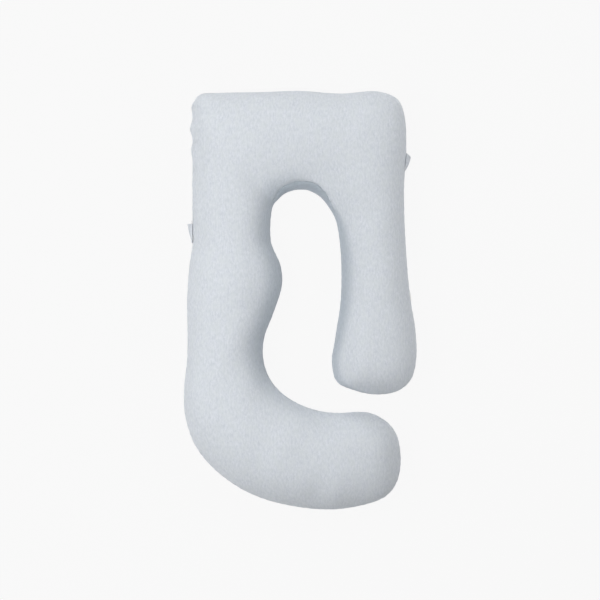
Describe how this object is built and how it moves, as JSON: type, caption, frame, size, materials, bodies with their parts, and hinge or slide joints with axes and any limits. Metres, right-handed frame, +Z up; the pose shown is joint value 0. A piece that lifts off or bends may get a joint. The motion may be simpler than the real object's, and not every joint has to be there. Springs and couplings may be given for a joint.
{
  "type": "nursing pillow",
  "caption": "Full-length nursing pillow: one stuffed tube with a short leg, a square head and a long curled leg, in a zipped knit cover.",
  "frame": {"origin": "centre of the pillow's outline, on the surface it lies on", "axes": "+Z up out of the surface it lies on, +Y along its length towards the head section, +X towards the short leg"},
  "size_m": [0.805, 1.448, 0.19],
  "materials": {
    "cover_jersey": "matte",
    "liner_cloth": "matte",
    "polyester_fibre": "matte",
    "zip_tape": "matte",
    "zip_coil_nylon": "satin",
    "zinc_alloy": "satin",
    "label_satin": "satin"
  },
  "bodies": {
    "pillow": {"cover_top_panel": "cover_jersey", "cover_bottom_panel": "cover_jersey", "liner_top_panel": "liner_cloth", "liner_bottom_panel": "liner_cloth", "fibre_filling": "polyester_fibre", "zip_tape_upper": "zip_tape", "zip_tape_lower": "zip_tape", "zip_coil_upper": "zip_coil_nylon", "zip_coil_lower": "zip_coil_nylon", "zip_end_tab_left": "cover_jersey", "zip_end_tab_right": "cover_jersey", "zip_top_stop_upper": "zinc_alloy", "zip_top_stop_lower": "zinc_alloy", "zip_bottom_stop": "zinc_alloy", "care_label": "label_satin"},
    "slider": {"zip_slider": "zinc_alloy"},
    "pull": {"zip_pull": "zinc_alloy"}
  },
  "joints": [
    {"name": "slider_travel", "type": "slide", "parent": "pillow", "child": "slider", "axis": [0, 1, 0], "range_m": [0, 0.36]},
    {"name": "pull_swing", "type": "hinge", "parent": "slider", "child": "pull", "pos_m": [-0.3744, 0.254, 0.085], "axis": [0, 0, 1], "range_deg": [0, 40]}
  ]
}
